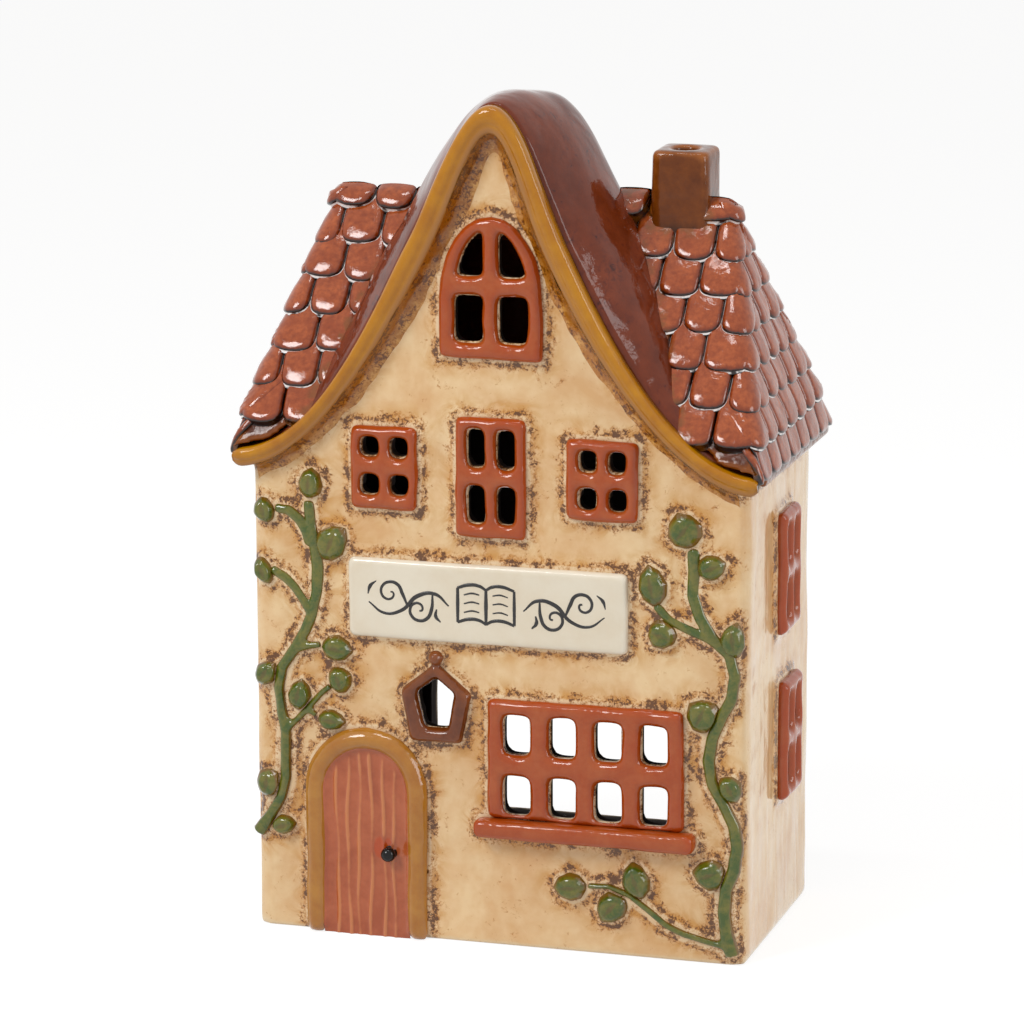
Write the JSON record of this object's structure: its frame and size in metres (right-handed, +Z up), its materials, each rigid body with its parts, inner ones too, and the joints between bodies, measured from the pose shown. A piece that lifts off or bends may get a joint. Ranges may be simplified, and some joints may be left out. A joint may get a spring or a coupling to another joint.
{
  "type": "tealight house",
  "caption": "Glazed ceramic cottage tealight holder with ogee gable, scalloped tile roof, chimney, pierced windows and a tealight that goes in at the back.",
  "frame": {"origin": "centre of the underside, on the plane that the house stands on", "axes": "+Z up; the front with the door and the gable faces -Y, and +X is to the right of someone who looks at the front"},
  "size_m": [0.1348, 0.0788, 0.2109],
  "materials": {
    "body_glaze": "gloss",
    "roof_glaze": "gloss",
    "ochre_glaze": "gloss",
    "brown_glaze": "gloss",
    "tile_glaze": "gloss",
    "window_glaze": "gloss",
    "door_glaze": "gloss",
    "knob_glaze": "gloss",
    "plaque_glaze": "gloss",
    "leaf_glaze": "gloss",
    "cup_metal": "satin",
    "wax": "satin",
    "wick_tab_metal": "satin",
    "wick_cotton": "matte"
  },
  "bodies": {
    "house": {"floor_slab": "body_glaze", "front_wall": "body_glaze", "rear_wall": "body_glaze", "left_wall": "body_glaze", "right_wall": "body_glaze", "main_roof": "roof_glaze", "gable_roof": "roof_glaze", "bargeboard": "ochre_glaze", "door_surround": "ochre_glaze", "chimney": "brown_glaze", "lantern_window": "brown_glaze", "tile_course_1": "tile_glaze", "tile_course_2": "tile_glaze", "tile_course_3": "tile_glaze", "tile_course_4": "tile_glaze", "tile_course_5": "tile_glaze", "tile_course_6": "tile_glaze", "tile_course_7": "tile_glaze", "tile_course_7_right": "tile_glaze", "attic_window": "window_glaze", "upper_left_window": "window_glaze", "upper_middle_window": "window_glaze", "upper_right_window": "window_glaze", "shop_window": "window_glaze", "left_upper_window": "window_glaze", "left_lower_window": "window_glaze", "right_upper_window": "window_glaze", "right_lower_window": "window_glaze", "shop_window_sill": "window_glaze", "door": "door_glaze", "door_knob": "knob_glaze", "sign_plaque": "plaque_glaze", "left_vine_stem": "leaf_glaze", "right_vine_stem": "leaf_glaze", "left_leaf_1": "leaf_glaze", "left_leaf_2": "leaf_glaze", "left_leaf_3": "leaf_glaze", "left_leaf_4": "leaf_glaze", "left_leaf_5": "leaf_glaze", "left_leaf_6": "leaf_glaze", "left_leaf_7": "leaf_glaze", "left_leaf_8": "leaf_glaze", "left_leaf_9": "leaf_glaze", "left_leaf_10": "leaf_glaze", "left_leaf_11": "leaf_glaze", "right_leaf_1": "leaf_glaze", "right_leaf_2": "leaf_glaze", "right_leaf_3": "leaf_glaze", "right_leaf_4": "leaf_glaze", "right_leaf_5": "leaf_glaze", "right_leaf_6": "leaf_glaze", "right_leaf_7": "leaf_glaze", "right_leaf_8": "leaf_glaze", "right_leaf_9": "leaf_glaze", "right_leaf_10": "leaf_glaze", "right_leaf_11": "leaf_glaze"},
    "tealight": {"tealight_cup": "cup_metal", "tealight_wax": "wax", "wick_tab": "wick_tab_metal", "wick": "wick_cotton"}
  },
  "joints": [
    {"name": "tealight_out", "type": "slide", "parent": "house", "child": "tealight", "axis": [0, 0.7254, 0.6884], "range_m": [0, 0.083]}
  ]
}
